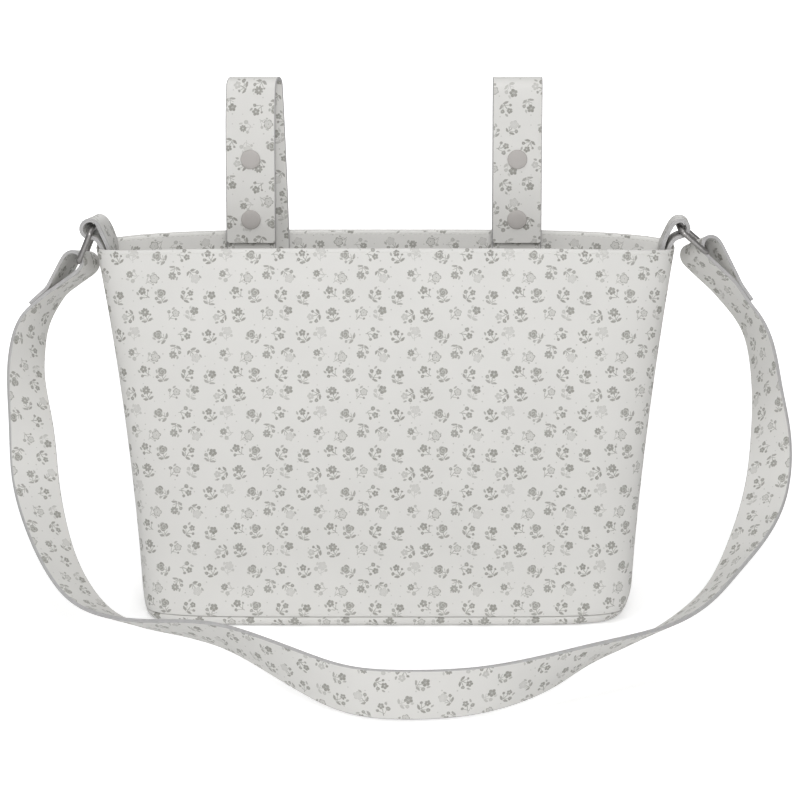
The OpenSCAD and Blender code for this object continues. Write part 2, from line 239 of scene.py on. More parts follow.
    # side blossom with a light dot, and a smaller bud opposite
    bud = put("SUBTRACT", disc(-3.5, -1.3, put("MULTIPLY", side_size, 1.5)),
              put("MULTIPLY", disc(-3.5, -1.3, 0.3), 0.5))
    small = put("MULTIPLY", disc(3.7, -0.9, put("MULTIPLY", side_size, 1.05)),
                put("GREATER_THAN", second, 0.5))
    rest = put("MAXIMUM", bud, small)
    # stem and shoots
    bent = put("SUBTRACT", put("SUBTRACT", qx, 0.2), put("MULTIPLY", put("MULTIPLY", qy, qy), 0.03))
    line = put("MULTIPLY", soft(put("SUBTRACT", 0.24, put("ABSOLUTE", bent))),
                put("MULTIPLY", put("LESS_THAN", qy, 1.0), put("GREATER_THAN", qy, -5.3)))
    shoot = put("SUBTRACT", put("ABSOLUTE", qx), put("MULTIPLY", put("ADD", qy, 4.2), 1.05))
    shoot = put("MULTIPLY", soft(put("SUBTRACT", 0.26, put("ABSOLUTE", shoot))),
                 put("MULTIPLY", put("GREATER_THAN", qy, -4.2), put("LESS_THAN", qy, -1.5)))
    rest = put("MAXIMUM", rest, put("MAXIMUM", line, shoot))
    # a pair of pointed leaves at the foot, one by the blossom
    mx = put("SUBTRACT", put("ABSOLUTE", put("SUBTRACT", qx, 0.3)), 2.2)
    my = put("ADD", qy, 4.4)
    lx = put("MULTIPLY_ADD", mx, 0.94, put("MULTIPLY", my, 0.34))
    ly = put("SUBTRACT", put("MULTIPLY", my, 0.94), put("MULTIPLY", mx, 0.34))
    vein = put("SUBTRACT", 1.0, put("POWER", put("DIVIDE", put("ABSOLUTE", lx), 2.2), 2.0))
    leaf = soft(put("SUBTRACT", put("MULTIPLY", vein, 0.9), put("ABSOLUTE", ly)))
    rest = put("MAXIMUM", rest, put("MULTIPLY", leaf, put("GREATER_THAN", leaves, 0.5)))
    nx, ny = put("ADD", qx, 3.2), put("SUBTRACT", qy, 2.6)
    vein = put("SUBTRACT", 1.0, put("POWER", put("DIVIDE", put("ABSOLUTE", ny), 1.5), 2.0))
    leaf = soft(put("SUBTRACT", put("MULTIPLY", vein, 0.75), put("ABSOLUTE", nx)))
    rest = put("MAXIMUM", rest, put("MULTIPLY", leaf, 0.8))
    ink = put("MAXIMUM", ink, put("MULTIPLY", put("MULTIPLY", rest, side_tone), free))

    # a few faint specks between the posies
    seed_u, seed_v = put("DIVIDE", u, 6.6), put("DIVIDE", v, 6.2)
    spot = put("CombineXYZ", put("FLOOR", seed_u), put("FLOOR", seed_v), 0.0)
    made = tree.nodes.new("ShaderNodeTexWhiteNoise")
    tree.links.new(spot, made.inputs["Vector"])
    chance, (ra, rb, rc) = made.outputs["Value"], put("SeparateXYZ", made.outputs["Color"]).node.outputs
    dx = put("MULTIPLY", put("SUBTRACT", put("FRACT", seed_u), put("MULTIPLY_ADD", ra, 0.6, 0.2)), 6.6)
    dy = put("MULTIPLY", put("SUBTRACT", put("FRACT", seed_v), put("MULTIPLY_ADD", rb, 0.6, 0.2)), 6.2)
    seed = put("MULTIPLY", soft(put("SUBTRACT", put("MULTIPLY_ADD", rc, 0.2, 0.3), span(dx, dy))),
               put("LESS_THAN", chance, 0.45))
    ink = put("MAXIMUM", ink, put("MULTIPLY", seed, 0.45))

    # worn ink and colour
    worn = put("TexNoise", uv, None, 420.0, 3.0, noise_dimensions="3D")
    ink = put("MULTIPLY", ink, put("MapRange", worn, 0.3, 0.7, 0.78 * strength, 1.0 * strength))
    patchy = put("TexNoise", uv, None, 26.0, 4.0, noise_dimensions="3D")
    base = tree.nodes.new("ShaderNodeMix")
    base.data_type = "RGBA"
    tree.links.new(put("MapRange", patchy, 0.3, 0.7, 0.0, 1.0), base.inputs["Factor"])
    base.inputs["A"].default_value = [0.965 * c for c in linear(ground)[:3]] + [1.0]
    base.inputs["B"].default_value = linear(ground)
    both = tree.nodes.new("ShaderNodeMix")
    both.data_type = "RGBA"
    tree.links.new(ink, both.inputs["Factor"])
    tree.links.new(base.outputs["Result"], both.inputs["A"])
    both.inputs["B"].default_value = linear(dark)
    tree.links.new(both.outputs["Result"], shader.inputs["Base Color"])

    # pebbled grain and soft creases
    grain = put("TexVoronoi", uv, None, 1500.0, feature="SMOOTH_F1")
    fine = put("TexNoise", uv, None, 3200.0, 2.0, noise_dimensions="3D")
    crease = put("TexNoise", uv, None, 18.0, 2.0, 0.5, noise_dimensions="3D")
    height = put("ADD", put("MULTIPLY", grain, 0.00006), put("MULTIPLY", fine, 0.00002))
    height = put("ADD", height, put("MULTIPLY", crease, 0.0011))
    bump = tree.nodes.new("ShaderNodeBump")
    bump.inputs["Strength"].default_value = 0.6
    bump.inputs["Distance"].default_value = 1.0
    tree.links.new(height, bump.inputs["Height"])
    tree.links.new(bump.outputs[0], shader.inputs["Normal"])
    tree.links.new(put("MapRange", grain, 0.0, 1.0, sheen - 0.06, sheen + 0.1), shader.inputs["Roughness"])
    shader.inputs["Specular IOR Level"].default_value = 0.32
    return material


leather = printed("leatherette_print", "#DAD9D6", "#87867F", sheen=0.52)
# The facings are the same leatherette as the outside, given a lighter ground and ink: painted light that brightens
# the shaded inside of the mouth.
facing_lightened_finish = printed("facing_print_lightened", "#EEEDEA", "#8B8A83", strength=0.95, sheen=0.6)

# Grey paint rolled over the cut edges of the straps and tabs, slightly glossy with drag marks along the edge.
edge_paint, tree, shader = new_material("edge_paint")
coord = add(tree, "TexCoord")
coord = tree.nodes["Texture Coordinate"].outputs["Object"]
shade = add(tree, "TexNoise", coord, None, 300.0, 3.0)
ramp = tree.nodes.new("ShaderNodeValToRGB")
ramp.color_ramp.elements[0].color = linear("#A5A4A4")
ramp.color_ramp.elements[1].color = linear("#BCBBBB")
tree.links.new(shade, ramp.inputs[0])
tree.links.new(ramp.outputs[0], shader.inputs["Base Color"])
bump = tree.nodes.new("ShaderNodeBump")
bump.inputs["Strength"].default_value = 0.35
bump.inputs["Distance"].default_value = 0.0002
tree.links.new(add(tree, "TexNoise", coord, None, 1400.0, 2.0), bump.inputs["Height"])
tree.links.new(bump.outputs[0], shader.inputs["Normal"])
shader.inputs["Roughness"].default_value = 0.48


def metal(name, colour, roughness, scale, metallic=1.0):
    """Plated metal with faint polishing marks, read from object coordinates."""
    material, tree, shader = new_material(name)
    made = tree.nodes.new("ShaderNodeTexCoord")
    marks = add(tree, "TexNoise", made.outputs["Object"], None, scale, 4.0)
    rough = add(tree, "MapRange", marks, 0.3, 0.7, roughness - 0.06, roughness + 0.08)
    tree.links.new(rough, shader.inputs["Roughness"])
    shader.inputs["Base Color"].default_value = linear(colour)
    shader.inputs["Metallic"].default_value = metallic
    bump = tree.nodes.new("ShaderNodeBump")
    bump.inputs["Strength"].default_value = 0.15
    bump.inputs["Distance"].default_value = 0.0001
    tree.links.new(marks, bump.inputs["Height"])
    tree.links.new(bump.outputs[0], shader.inputs["Normal"])
    return material


# nickel plate over steel rod, tumbled: a soft grey gloss; brighter on the small pressed brass parts of the
# studs; the caps are lacquered a matt warm grey
nickel = metal("ring_nickel", "#9C9A99", 0.34, 900.0)
snap_nickel = metal("snap_nickel", "#C2BFBC", 0.3, 1500.0)
cap_finish = metal("snap_cap_lacquer", "#B3AFAC", 0.55, 2600.0, metallic=0.0)


def woven(name, colour, shadow, pitch):
    """Plain-weave cloth; two crossed sets of yarns from the piece's UV map in metres."""
    material, tree, shader = new_material(name)
    uv = add(tree, "UVMap", uv_map="print")
    made = tree.nodes.new("ShaderNodeSeparateXYZ")
    tree.links.new(uv, made.inputs[0])
    yarns = []
    for out, phase in ((made.outputs[0], 0.0), (made.outputs[1], math.pi / 2)):
        yarns.append(add(tree, "SINE", add(tree, "MULTIPLY_ADD", out, 2 * math.pi / pitch, phase)))
    slub = add(tree, "TexNoise", uv, None, 700.0, 3.0)
    total = add(tree, "ADD", add(tree, "MULTIPLY", *yarns), slub)
    ramp = tree.nodes.new("ShaderNodeValToRGB")
    ramp.color_ramp.elements[0].color = linear(shadow)
    ramp.color_ramp.elements[1].color = linear(colour)
    tree.links.new(add(tree, "MapRange", total, -0.6, 1.5, 0.0, 1.0), ramp.inputs[0])
    tree.links.new(ramp.outputs[0], shader.inputs["Base Color"])
    bump = tree.nodes.new("ShaderNodeBump")
    bump.inputs["Strength"].default_value = 0.5
    bump.inputs["Distance"].default_value = 0.00012
    tree.links.new(total, bump.inputs["Height"])
    tree.links.new(bump.outputs[0], shader.inputs["Normal"])
    shader.inputs["Roughness"].default_value = 0.85
    return material


# polyester lining cloth, dull, with yarns 0.6 mm apart, a little coarser than real so that they show
lining_finish = woven("lining_cloth", "#D5D1CB", "#B5B1AA", 0.6 * MM)


def build(name, points, faces, materials, marks=None, uvs=None):
    """A mesh object from plain lists, smooth, with its UV map in metres."""
    mesh = bpy.data.meshes.new(name)
    mesh.from_pydata(points, [], faces)
    layer = mesh.uv_layers.new(name="print")
    for polygon in mesh.polygons:
        polygon.use_smooth = True
        if marks:
            polygon.material_index = marks[polygon.index]
        if uvs:
            for loop, uv in zip(polygon.loop_indices, uvs[polygon.index]):
                layer.data[loop].uv = uv
    for material in materials:
        mesh.materials.append(material)
    obj = bpy.data.objects.new(name, mesh)
    scene.collection.objects.link(obj)
    return obj


# ---------------------------------------------------------------- walls, facings and lining
# The body is cut from flat panels: each layer is one closed sheet that follows the same outline, a rounded
# rectangle that narrows towards the rim in depth and widens across. Layers lie 0.1 mm apart. Sizes are in mm.
BASE_HALF_WIDTH, BASE_HALF_DEPTH = 159, 55
RIM_WIDER, RIM_SHALLOWER, RIM_SAG = 26, 24, 4
BASE_SEAM, WALL_HEIGHT = 6.5, 237.5


def corner_pull(across, z):
    """How far the soft lower corners are drawn in, more at the right than at the left."""
    pull = 7.0 if across > 0 else 2.6
    return math.copysign(pull * max(0.0, 1 - z / 24) ** 2.2 * abs(across) ** 8, across)


def wall(angle, t, inset):
    """A point of the wall at a share t of its height, inset from the outer face, in metres."""
    c, s = math.cos(math.radians(angle)), math.sin(math.radians(angle))
    power = 6 - 2 * t
    r = (abs(c) ** power + abs(s) ** power) ** (-1 / power)
    half_width = BASE_HALF_WIDTH + RIM_WIDER * max(t, 0.0) ** 1.4 - inset
    half_depth = BASE_HALF_DEPTH - RIM_SHALLOWER * max(t, 0.0) ** 1.2 - inset
    x, y = half_width * r * c, half_depth * r * s
    z = BASE_SEAM + WALL_HEIGHT * t - RIM_SAG * t * (r * c) ** 4
    # the soft wall swells a little between rim and base and is not quite even
    free = math.sin(math.pi * min(max(t, 0), 1)) ** 1.3
    swell = free * (1.1 + 0.5 * math.sin(x / 47 + 1.3) + 0.35 * math.sin(x / 23 + z / 31)) * abs(s * r) ** 3
    y += math.copysign(swell, s) if abs(s) > 1e-6 else 0
    # the left corner of the mouth is drawn out a little by the strap
    x -= 1.9 * max(0.0, t) ** 5 * max(0.0, -r * c) ** 6
    x -= corner_pull(r * c, z)
    return Vector((x, y, z)) * MM


def wall_layer(name, a0, a1, t0, t1, inset, thick, finish, columns=110, rows=46, crown=0.45, seam=0.0):
    """One closed sheet of the wall; `crown` rounds its rim and `seam` turns its ends in at the side seams."""
    bend = min(crown, thick * 0.48)
    lip = bend / WALL_HEIGHT
    outside = [(t0, bend), (t0 + lip * 0.35, bend * 0.3)]
    outside += [(max(t0 + (t1 - t0) * i / rows, t0 + lip), 0.0) for i in range(rows)]
    outside += [(t1 - lip, 0.0), (t1 - lip * 0.35, bend * 0.3), (t1, bend)]
    inside = [(t, thick - d) for t, d in outside]
    loop = outside + inside[::-1]
    count, half = len(loop), len(outside)
    points, faces, uvs = [], [], []
    grid_u = []
    for j in range(columns + 1):
        angle = a0 + (a1 - a0) * j / columns
        near = min(j, columns - j) / columns * 400
        turn_in = seam * max(0.0, 1 - near / 3.0) ** 2
        points += [wall(angle, t, inset + d + turn_in * (1 - d / thick)) for t, d in loop]
    middle = columns // 2
    for k in range(count):
        lengths = [0.0]
        for j in range(columns):
            lengths.append(lengths[-1] + (points[(j + 1) * count + k] - points[j * count + k]).length)
        grid_u.append([length - lengths[middle] for length in lengths])
    climbs = [0.0]
    for k in range(count - 1):
        climbs.append(climbs[-1] + (points[middle * count + k + 1] - points[middle * count + k]).length)
    for j in range(columns):
        for k in range(count):
            m = (k + 1) % count
            faces.append((j * count + k, (j + 1) * count + k, (j + 1) * count + m, j * count + m))
            top = climbs[m] if m else climbs[k] + thick * MM
            uvs.append([(grid_u[k][j], climbs[k]), (grid_u[k][j + 1], climbs[k]),
                        (grid_u[m][j + 1], top), (grid_u[m][j], top)])
    for j, flip in ((0, False), (columns, True)):
        for k in range(half - 1):
            face = [j * count + k, j * count + k + 1, j * count + count - 2 - k, j * count + count - 1 - k]
            low, high = climbs[k], climbs[k + 1]
            uv = [(0.0, low), (0.0, high), (thick * MM, high), (thick * MM, low)]
            faces.append(tuple(face[::-1] if flip else face))
            uvs.append(uv[::-1] if flip else uv)
    return build(name, points, faces, [finish], uvs=uvs)


FACING_FOOT = 1 - 60 / WALL_HEIGHT  # the facings are 60 mm deep
SEAM = 0.06  # degrees left open at each side seam
for name, a0, a1 in (("front_panel", 180 + SEAM, 360 - SEAM), ("back_panel", SEAM, 180 - SEAM)):
    panel = wall_layer(name + "_cover", a0, a1, 0, 1, 0, 1.6, leather, 140, 60, crown=0.7, seam=0.7)
    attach(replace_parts(panel, name), "bag")
for name, a0, a1 in (("front_facing", 180 + SEAM, 360 - SEAM), ("back_facing", SEAM, 180 - SEAM)):
    facing = wall_layer(name + "_cover", a0, a1, FACING_FOOT, 0.997, 1.7, 1.2, facing_lightened_finish, 120, 16, 0.5)
    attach(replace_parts(facing, name), "bag")
lining_top = FACING_FOOT + 0.04
for name, a0, a1 in (("lining_front", 180 + SEAM, 360 - SEAM), ("lining_back", SEAM, 180 - SEAM)):
    cloth = wall_layer(name + "_cover", a0, a1, 0.005, lining_top, 3.0, 0.8, lining_finish, 120, 40, 0.35)
    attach(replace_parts(cloth, name), "bag")

# Slip pocket: a square of the lining cloth sewn flat on the back lining, open at its hemmed top.
pocket = wall_layer("inner_pocket_cover", 62, 118, 0.25, 0.62, 3.9, 0.9, lining_finish, 60, 30, 0.4)
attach(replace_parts(pocket, "inner_pocket"), "bag")

# ---------------------------------------------------------------- base
# Bottom of the same leatherette, pressed into a shallow tray and sewn to the walls; it rests flat on the
# floor. The lip's rows are inset and height, up its outside and down its inside.
sides = 240
lip = [(5.2, 0.0), (3.6, 0.12), (2.3, 0.6), (1.3, 1.5), (0.6, 2.8), (0.25, 4.2), (0.2, 5.4), (0.75, 6.15),
       (1.55, 6.3), (1.7, 5.6), (1.9, 4.0), (2.4, 2.4), (4.0, 1.6)]


def base_point(a, inset, z):
    """A point of the base's outline, drawn in by `inset`, in metres."""
    c, s = math.cos(a), math.sin(a)
    r = (abs(c) ** 6 + abs(s) ** 6) ** (-1 / 6)
    soft = inset + (1.3 if c > 0 else 0.35) * min(inset, 6.0) * abs(r * c) ** 8
    x = (BASE_HALF_WIDTH - soft) * r * c - corner_pull(r * c, z)
    return Vector((x, (BASE_HALF_DEPTH - inset) * r * s, z)) * MM


points, faces, uvs = [], [], []
rings = [(45.0, 0.0), (25.0, 0.0)] + lip + [(25.0, 1.6), (45.0, 1.6)]
for inset, z in rings:
    points += [base_point(2 * math.pi * j / sides, inset, z) for j in range(sides)]
runs = [0.0]
for i in range(len(rings) - 1):
    runs.append(runs[-1] + math.dist(rings[i], rings[i + 1]) * MM)
around = [0.0]
for j in range(sides):
    around.append(around[-1] + (points[3 * sides + (j + 1) % sides] - points[3 * sides + j]).length)
for i in range(len(rings) - 1):
    for j in range(sides):
        m = (j + 1) % sides
        faces.append((i * sides + j, i * sides + m, (i + 1) * sides + m, (i + 1) * sides + j))
        if 2 <= i < 12:
            uvs.append([(around[j], runs[i]), (around[j + 1], runs[i]),
                        (around[j + 1], runs[i + 1]), (around[j], runs[i + 1])])
        else:
            uvs.append([(points[k].x, points[k].y) for k in faces[-1]])
faces.append(tuple(reversed(range(sides))))
uvs.append([(points[k].x, points[k].y) for k in faces[-1]])
last = (len(rings) - 1) * sides
faces.append(tuple(last + j for j in range(sides)))
uvs.append([(points[k].x, points[k].y) for k in faces[-1]])
base = build("base_panel_cover", points, faces, [leather], uvs=uvs)
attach(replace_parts(base, "base_panel"), "bag")

# Stiff grey board under the bottom lining, and the bottom lining itself, both cut flat. The board is pressed
# paper: dull, with a faint mottle of fibres.
board_finish, tree, shader = new_material("grey_board")
made = tree.nodes.new("ShaderNodeTexCoord")
ramp = tree.nodes.new("ShaderNodeValToRGB")
ramp.color_ramp.elements[0].color = linear("#A39C92")
ramp.color_ramp.elements[1].color = linear("#BBB4A9")
tree.links.new(add(tree, "TexNoise", made.outputs["Object"], None, 800.0, 5.0), ramp.inputs[0])
tree.links.new(ramp.outputs[0], shader.inputs["Base Color"])
shader.inputs["Roughness"].default_value = 0.9


def finish_node(name, material):
    """Gives a CAD piece its finish."""
    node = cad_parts[name]
    node.data.materials.clear()
    node.data.materials.append(material)


def plate(name, profile, material):
    """A closed flat plate that fills the base's outline; profile rows are inset and height."""
    points, faces = [], []
    for inset, z in profile:
        points += [base_point(2 * math.pi * j / sides, inset, z) for j in range(sides)]
    last = len(profile) - 1
    for i in range(last):
        for j in range(sides):
            m = (j + 1) % sides
            faces.append((i * sides + j, i * sides + m, (i + 1) * sides + m, (i + 1) * sides + j))
    faces += [tuple(reversed(range(sides))), tuple(last * sides + j for j in range(sides))]
    uvs = [[(points[k].x, points[k].y) for k in face] for face in faces]
    return build(name, points, faces, [material], uvs=uvs)


middle = 60.0  # inset that reaches in under the middle of the base
profile = ((middle, 1.75), (3.6, 1.75), (3.45, 1.95), (3.45, 4.1), (3.6, 4.3), (middle, 4.3))
board = plate("base_board_cut", profile, board_finish)
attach(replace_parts(board, "base_board"), "bag")
profile = ((middle, 4.4), (4.0, 4.4), (3.4, 4.5), (3.25, 4.8), (3.4, 5.1), (4.0, 5.2), (middle, 5.2))
floor_cloth = plate("lining_base_cover", profile, lining_finish)
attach(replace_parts(floor_cloth, "lining_base"), "bag")

# ---------------------------------------------------------------- sewn seams
# Off-white polyester thread whose faint twist is drawn as diagonal bands of painted shade and painted highlight:
# rows of short stitches below the rim outside and inside, along the facings' lower edge, and round the pocket.
thread, tree, shader = new_material("thread")
made = tree.nodes.new("ShaderNodeTexCoord")
# painted shade and highlight: the twist shown as light and dark diagonal bands in the thread's colour
twist_shading = add(tree, "TexWave", made.outputs["Object"], 2600.0, 1.5, bands_direction="DIAGONAL")
ramp = tree.nodes.new("ShaderNodeValToRGB")
ramp.color_ramp.elements[0].color = linear("#CBCAC6")
ramp.color_ramp.elements[1].color = linear("#E9E8E4")
tree.links.new(twist_shading, ramp.inputs[0])
tree.links.new(ramp.outputs[0], shader.inputs["Base Color"])
shader.inputs["Roughness"].default_value = 0.7


def stitch_row(name, paths, pitch=3.2 * MM, half=1.15 * MM, thick=0.24 * MM):
    """Short rounded stitches laid end to end along the paths."""
    mesh = bpy.data.meshes.new(name)
    points, edges = [], []
    for path in paths:
        first = len(points)
        points += path
        edges += [(first + i, first + i + 1) for i in range(len(path) - 1)]
    mesh.from_pydata(points, edges, [])
    obj = bpy.data.objects.new(name + "_path", mesh)
    scene.collection.objects.link(obj)
    tree = bpy.data.node_groups.new(name, "GeometryNodeTree")
    tree.interface.new_socket("Geometry", in_out="INPUT", socket_type="NodeSocketGeometry")
    step = tree.interface.new_socket("Pitch", in_out="INPUT", socket_type="NodeSocketFloat")
    tree.interface.new_socket("Geometry", in_out="OUTPUT", socket_type="NodeSocketGeometry")
    given, result = tree.nodes.new("NodeGroupInput"), tree.nodes.new("NodeGroupOutput")

    def put(kind):
        return tree.nodes.new("GeometryNode" + kind)

    line, even, laid = put("MeshToCurve"), put("ResampleCurve"), put("InstanceOnPoints")
    turn = tree.nodes.new("FunctionNodeAlignEulerToVector")
    even.mode = "LENGTH"
    along, ball, stretch = put("InputTangent"), put("MeshUVSphere"), put("Transform")
    ball.inputs["Segments"].default_value = 8
    ball.inputs["Rings"].default_value = 6
    ball.inputs["Radius"].default_value = 1.0
    stretch.inputs["Scale"].default_value = (half, thick, thick)
    real, paint = put("RealizeInstances"), put("SetMaterial")
    paint.inputs["Material"].default_value = thread
    link = tree.links.new
    link(given.outputs[0], line.inputs[0])
    link(line.outputs[0], even.inputs["Curve"])
    link(given.outputs[1], even.inputs["Length"])
    link(even.outputs[0], laid.inputs["Points"])
    link(ball.outputs[0], stretch.inputs[0])
    link(stretch.outputs[0], laid.inputs["Instance"])
    link(along.outputs[0], turn.inputs["Vector"])
    link(turn.outputs[0], laid.inputs["Rotation"])
    link(laid.outputs[0], real.inputs[0])
    link(real.outputs[0], paint.inputs[0])
    link(paint.outputs[0], result.inputs[0])
    modifier = obj.modifiers.new(name, "NODES")
    modifier.node_group = tree
    modifier[step.identifier] = pitch
    bpy.context.view_layer.update()
    plain = bpy.data.meshes.new_from_object(obj.evaluated_get(bpy.context.evaluated_depsgraph_get()))
    bpy.data.objects.remove(obj)
    for polygon in plain.polygons:
        polygon.use_smooth = True
    made = bpy.data.objects.new(name, plain)
    scene.collection.objects.link(made)
    return made


def along_wall(a0, a1, t, inset, count=240):
    """Points across the wall at one height."""
    return [wall(a0 + (a1 - a0) * i / count, t, inset) for i in range(count + 1)]


rim_t = 1 - 2.6 / WALL_HEIGHT  # 2.6 mm below the rim
rows = [along_wall(181.2, 358.8, rim_t, -0.05), along_wall(1.2, 178.8, rim_t, -0.05)]
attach(stitch_row("rim_stitches_outside", rows), "bag")
rows = [along_wall(181.2, 358.8, rim_t, 2.95), along_wall(1.2, 178.8, rim_t, 2.95)]
rows += [along_wall(182, 358, FACING_FOOT + 0.03, 3.85), along_wall(2, 178, FACING_FOOT + 0.03, 3.85)]
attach(stitch_row("rim_stitches_inside", rows), "bag")
# down one side of the pocket, along its foot and up the other side; then its hem
drop = [0.355 * i / 60 for i in range(61)]
rows = [[wall(62.6, 0.62 - fall, 3.84) for fall in drop] + along_wall(62.6, 117.4, 0.265, 3.84, 80)
        + [wall(117.4, 0.265 + rise, 3.84) for rise in drop], along_wall(63, 117, 0.605, 3.84, 80)]
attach(stitch_row("pocket_stitches", rows), "bag")


# ---------------------------------------------------------------- straps in general
# Two plies of leatherette glued back to back, cut to width, the cut edges painted; a fine groove shows where
# the plies meet.
GROOVE = 0.22
BACK_PRINT = 0.047  # metres that the back ply's print is shifted by


def eased(values):
    """Each value but the two at the ends is drawn towards its neighbours."""
    inner = [(a + 2 * b + c) / 4 for a, b, c in zip(values, values[1:], values[2:])]
    return [values[0]] + inner + [values[-1]]


def run_along(points):
    """Distances from the first point to each."""
    lengths = [0.0]
    for p, q in zip(points, points[1:]):
        lengths.append(lengths[-1] + (q - p).length)
    return lengths


def band(name, path, width, thick, finish, step=2.0, ends=0.0, smooth=2, u0=0.0, wrap=0.12, level=False):
    """A flat band in millimetres along path, a list of (point, way the width runs).

    `ends` rounds its last corners, `wrap` is how far the edge paint laps over, `level` keeps its width level.
    """
    spots = [(Vector(p), Vector(w)) for p, w in path]
    lengths = run_along([p for p, _ in spots])
    whole = lengths[-1]
    count = max(4, round(whole / step))
    places = [whole * i / count for i in range(count + 1)]
    if ends:  # closer rings at the rounded end
        places = [s for s in places if s < whole - ends] + [whole - ends * (1 - k / 8) for k in range(9)]
    line, ways, i = [], [], 0
    for s in places:
        while i < len(lengths) - 2 and lengths[i + 1] < s:
            i += 1
        share = min(1.0, (s - lengths[i]) / max(lengths[i + 1] - lengths[i], 1e-9))
        line.append(spots[i][0].lerp(spots[i + 1][0], share))
        ways.append(spots[i][1].normalized().lerp(spots[i + 1][1].normalized(), share))
    for _ in range(smooth):
        line, ways = eased(line), eased(ways)
    h, t, r = width / 2, thick / 2, min(0.55, thick * 0.3)
    top = [(-h + GROOVE, 0.04), (-h, 0.3), (-h, t - r), (-h + 0.3 * r, t - 0.3 * r)]
    top += [(-h + r, t), (-h + r + wrap, t)]
    top += [(-h + width * k / 8, t + 0.06 * math.sin(math.pi * k / 8)) for k in range(1, 8)]
    top += [(-u, v) for u, v in top[:6][::-1]]
    loop = top + [(u, -v) for u, v in top[::-1]]
    size, half = len(loop), len(top)
    points, faces, marks, uvs = [], [], [], []
    for k, (s, p, w) in enumerate(zip(places, line, ways)):
        ahead = (line[min(k + 1, len(line) - 1)] - line[max(k - 1, 0)]).normalized()
        w = w.normalized() if level else (w - ahead * w.dot(ahead)).normalized()
        n = ahead.cross(w).normalized()
        narrow = 0.0
        if ends and s > whole - ends:
            narrow = ends - math.sqrt(max(0.0, ends**2 - (s - whole + ends) ** 2))
        for u, v in loop:
            u = math.copysign(max(abs(u) - narrow * min(1.0, abs(u) / h), 0), u)
            points.append((p + w * u + n * v) * MM)
    for k in range(len(line) - 1):
        for i in range(size):
            m = (i + 1) % size
            faces.append((k * size + i, (k + 1) * size + i, (k + 1) * size + m, k * size + m))
            edge = i % half < 5 or i % half > half - 7
            marks.append(1 if edge else 0)
            side, shift = (1, u0) if i < half else (-1, u0 + BACK_PRINT)
            ua, ub = loop[i][0] * side * MM + shift, loop[m][0] * side * MM + shift
            va, vb = places[k] * MM, places[k + 1] * MM
            uvs.append([(ua, va), (ua, vb), (ub, vb), (ub, va)])
    for k, flip in ((0, False), (len(line) - 1, True)):
        for i in range(half - 1):
            face = [k * size + i, k * size + i + 1, k * size + size - 2 - i, k * size + size - 1 - i]
            faces.append(tuple(face[::-1] if flip else face))
            marks.append(1)
            uvs.append([(0.0, 0.0)] * 4)
    return build(name, points, faces, [finish, edge_paint], marks, uvs)


# ---------------------------------------------------------------- pram straps
# Each strap is sewn inside the back facing, stands up behind the rim, folds over the pushchair's handle and
# comes down in front, where two press studs hold it to a short stub. Each row: side, place across, and how far
# the back leg's foot stands to the right of the flap.
PRAM = (("left", -88.0, 9.0), ("right", 84.0, 0.0))
STRAP_WIDTH, STRAP_THICK = 32, 2.6
FOLD_MIDDLE, FOLD_RADIUS, FOLD_Z, FOOT_Z = 21.25, 4.85, 339.85, 210
ACROSS = (1, 0, 0)
for side, x, lean in PRAM:
    top = 0.55 * lean
    path = []
    for z in range(FOOT_Z, 340, 10):
        climb = (z - FOOT_Z) / (FOLD_Z - FOOT_Z)
        path.append(((x + lean + (top - lean) * climb**1.5, FOLD_MIDDLE + FOLD_RADIUS, z), ACROSS))
    for k in range(15):
        c, s = math.cos(math.pi * k / 16), math.sin(math.pi * k / 16)
        aside = top * (0.12 + 0.88 * (0.5 + 0.5 * c))
        path.append(((x + aside, FOLD_MIDDLE + FOLD_RADIUS * c, FOLD_Z + FOLD_RADIUS * s), ACROSS))
    for z in (337, 331, 325, 315, 300, 270, 250, 238):
        aside = 0.12 * top * max(0.0, (z - 300) / 37) ** 2
        path.append(((x + aside, FOLD_MIDDLE - FOLD_RADIUS, z), ACROSS))
    strap = band("pram_strap_" + side + "_band", path, STRAP_WIDTH, STRAP_THICK, leather, step=1.5, ends=1.8,
                 u0=0.02 * (side == "left"), level=True)
    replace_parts(strap, "pram_strap_" + side, "pram_flap_" + side)
    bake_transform(strap)
    path = [((x, 23.3, z), ACROSS) for z in (307, 285, 255, 230, 206)]
    stub = band("pram_stub_" + side + "_band", path, 31.6, STRAP_THICK, leather, ends=1.8, smooth=0, u0=0.03)
    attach(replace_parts(stub, "pram_stub_" + side), "bag")

